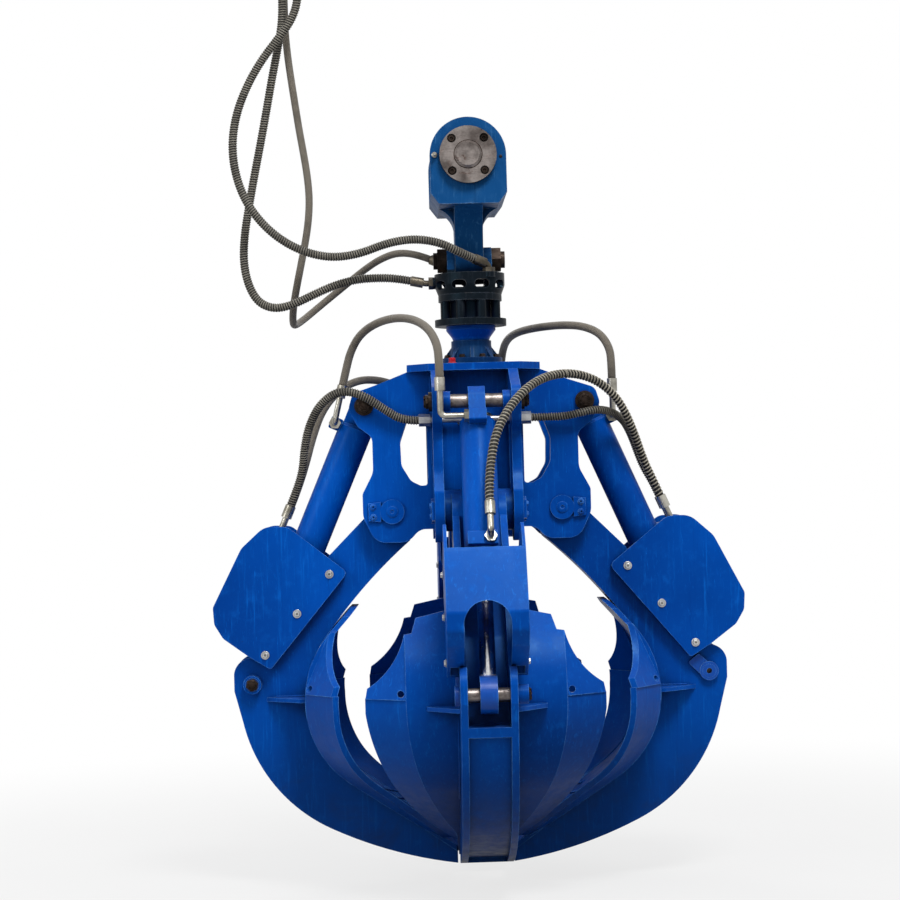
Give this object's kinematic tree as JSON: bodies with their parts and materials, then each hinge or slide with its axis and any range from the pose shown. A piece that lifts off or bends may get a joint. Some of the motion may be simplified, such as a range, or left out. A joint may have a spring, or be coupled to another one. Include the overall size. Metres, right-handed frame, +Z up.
{
  "type": "orange peel grapple",
  "caption": "Hydraulic orange peel grapple: tines with folded shells swing on a crossed frame, each pushed by its own cylinder, under a rotator hung from an excavator stick pin.",
  "frame": {"origin": "centre of the stick pin, halfway between the hanger's two cheeks", "axes": "+Z up; +Y along the stick pin; with the jaw closed and the rotator at zero the tines point along +X, +Y, -X and -Y"},
  "size_m": [1.5724, 1.5724, 2.6888],
  "materials": {
    "yoke_paint": "worn semi-gloss blue paint",
    "blue_paint": "semi-gloss blue paint",
    "black_paint": "satin black paint",
    "pin_steel": "machined steel, dull",
    "zinc_fitting": "zinc plated",
    "bolt_steel": "zinc plated, dull",
    "chrome_rod": "polished hard chrome",
    "wear_steel": "ground steel",
    "grey_hose": "woven sleeve over rubber",
    "guarded_hose": "rubber under a coiled guard"
  },
  "bodies": {
    "hanger": {"hanger_yoke": "yoke_paint", "pin_retaining_rings": "pin_steel", "stick_pin": "pin_steel", "supply_couplings": "zinc_fitting", "outer_supply_hose": "guarded_hose", "inner_supply_hose": "guarded_hose", "rear_supply_hose": "grey_hose"},
    "rotator_stator": {"cross_pin": "pin_steel", "rotator_bracket": "black_paint", "rotator_housing": "black_paint", "tie_bolts": "black_paint", "supply_fittings": "zinc_fitting"},
    "turning_frame": {"rotor": "blue_paint", "stool": "blue_paint", "frame": "blue_paint", "manifold": "bolt_steel", "tine_pivot_pins": "blue_paint", "cylinder_pins": "pin_steel", "left_to_front_base_hose": "grey_hose", "right_to_back_base_hose": "grey_hose", "front_to_right_rod_hose": "guarded_hose", "manifold_to_left_rod_hose": "guarded_hose", "manifold_to_right_rod_hose": "guarded_hose", "back_to_left_rod_hose": "grey_hose"},
    "right_tine": {"right_spine": "blue_paint", "right_shell": "blue_paint", "right_rod_guard": "blue_paint", "right_rod_pin": "pin_steel"},
    "right_cylinder": {"right_barrel": "blue_paint", "right_gland": "wear_steel", "right_hose_fittings": "zinc_fitting"},
    "right_ram": {"right_rod": "chrome_rod", "right_piston": "wear_steel"},
    "back_tine": {"back_spine": "blue_paint", "back_shell": "blue_paint", "back_rod_guard": "blue_paint", "back_rod_pin": "pin_steel"},
    "back_cylinder": {"back_barrel": "blue_paint", "back_gland": "wear_steel", "back_hose_fittings": "zinc_fitting"},
    "back_ram": {"back_rod": "chrome_rod", "back_piston": "wear_steel"},
    "left_tine": {"left_spine": "blue_paint", "left_shell": "blue_paint", "left_rod_guard": "blue_paint", "left_rod_pin": "pin_steel"},
    "left_cylinder": {"left_barrel": "blue_paint", "left_gland": "wear_steel", "left_hose_fittings": "zinc_fitting"},
    "left_ram": {"left_rod": "chrome_rod", "left_piston": "wear_steel"},
    "front_tine": {"front_spine": "blue_paint", "front_shell": "blue_paint", "front_rod_guard": "blue_paint", "front_rod_pin": "pin_steel"},
    "front_cylinder": {"front_barrel": "blue_paint", "front_gland": "wear_steel", "front_hose_fittings": "zinc_fitting"},
    "front_ram": {"front_rod": "chrome_rod", "front_piston": "wear_steel"}
  },
  "joints": [
    {"name": "cross_pin_swing", "type": "hinge", "parent": "hanger", "child": "rotator_stator", "pos_m": [0, 0, -0.29], "axis": [1, 0, 0], "range_deg": [-25, 25], "deforming": ["outer_supply_hose", "inner_supply_hose", "rear_supply_hose"]},
    {"name": "rotator_spin", "type": "hinge", "parent": "rotator_stator", "child": "turning_frame", "pos_m": [0, 0, -0.44], "axis": [0, 0, 1], "continuous": true},
    {"name": "right_tine_swing", "type": "hinge", "parent": "turning_frame", "child": "right_tine", "pos_m": [0.2505, 0, -1.036], "axis": [0, -1, 0], "range_deg": [0, 55]},
    {"name": "right_cylinder_swing", "type": "hinge", "parent": "turning_frame", "child": "right_cylinder", "pos_m": [0.3255, 0, -0.723], "axis": [0, -1, 0], "range_deg": [-1.5, 44.5], "deforming": ["right_to_back_base_hose", "front_to_right_rod_hose", "manifold_to_right_rod_hose"]},
    {"name": "right_ram_slide", "type": "slide", "parent": "right_cylinder", "child": "right_ram", "axis": [0.3973, 0, -0.9177], "range_m": [-0.262, 0.006]},
    {"name": "back_tine_swing", "type": "hinge", "parent": "turning_frame", "child": "back_tine", "pos_m": [0, 0.2505, -1.036], "axis": [1, 0, 0], "range_deg": [0, 55]},
    {"name": "back_cylinder_swing", "type": "hinge", "parent": "turning_frame", "child": "back_cylinder", "pos_m": [0, 0.3255, -0.723], "axis": [1, 0, 0], "range_deg": [-1.5, 44.5], "deforming": ["right_to_back_base_hose", "back_to_left_rod_hose"]},
    {"name": "back_ram_slide", "type": "slide", "parent": "back_cylinder", "child": "back_ram", "axis": [0, 0.3973, -0.9177], "range_m": [-0.262, 0.006]},
    {"name": "left_tine_swing", "type": "hinge", "parent": "turning_frame", "child": "left_tine", "pos_m": [-0.2505, 0, -1.036], "axis": [0, 1, 0], "range_deg": [0, 55]},
    {"name": "left_cylinder_swing", "type": "hinge", "parent": "turning_frame", "child": "left_cylinder", "pos_m": [-0.3255, 0, -0.723], "axis": [0, 1, 0], "range_deg": [-1.5, 44.5], "deforming": ["left_to_front_base_hose", "manifold_to_left_rod_hose", "back_to_left_rod_hose"]},
    {"name": "left_ram_slide", "type": "slide", "parent": "left_cylinder", "child": "left_ram", "axis": [-0.3973, 0, -0.9177], "range_m": [-0.262, 0.006]},
    {"name": "front_tine_swing", "type": "hinge", "parent": "turning_frame", "child": "front_tine", "pos_m": [0, -0.2505, -1.036], "axis": [-1, 0, 0], "range_deg": [0, 55]},
    {"name": "front_cylinder_swing", "type": "hinge", "parent": "turning_frame", "child": "front_cylinder", "pos_m": [0, -0.3255, -0.723], "axis": [-1, 0, 0], "range_deg": [-1.5, 44.5], "deforming": ["left_to_front_base_hose", "front_to_right_rod_hose"]},
    {"name": "front_ram_slide", "type": "slide", "parent": "front_cylinder", "child": "front_ram", "axis": [0, -0.3973, -0.9177], "range_m": [-0.262, 0.006]}
  ],
  "couplings": [
    {"joint": "right_cylinder_swing", "follows": "right_tine_swing", "ratio": 0.76635},
    {"joint": "right_ram_slide", "follows": "right_tine_swing", "m_per_rad": -0.25479},
    {"joint": "back_cylinder_swing", "follows": "back_tine_swing", "ratio": 0.76635},
    {"joint": "back_ram_slide", "follows": "back_tine_swing", "m_per_rad": -0.25479},
    {"joint": "left_cylinder_swing", "follows": "left_tine_swing", "ratio": 0.76635},
    {"joint": "left_ram_slide", "follows": "left_tine_swing", "m_per_rad": -0.25479},
    {"joint": "front_cylinder_swing", "follows": "front_tine_swing", "ratio": 0.76635},
    {"joint": "front_ram_slide", "follows": "front_tine_swing", "m_per_rad": -0.25479}
  ]
}
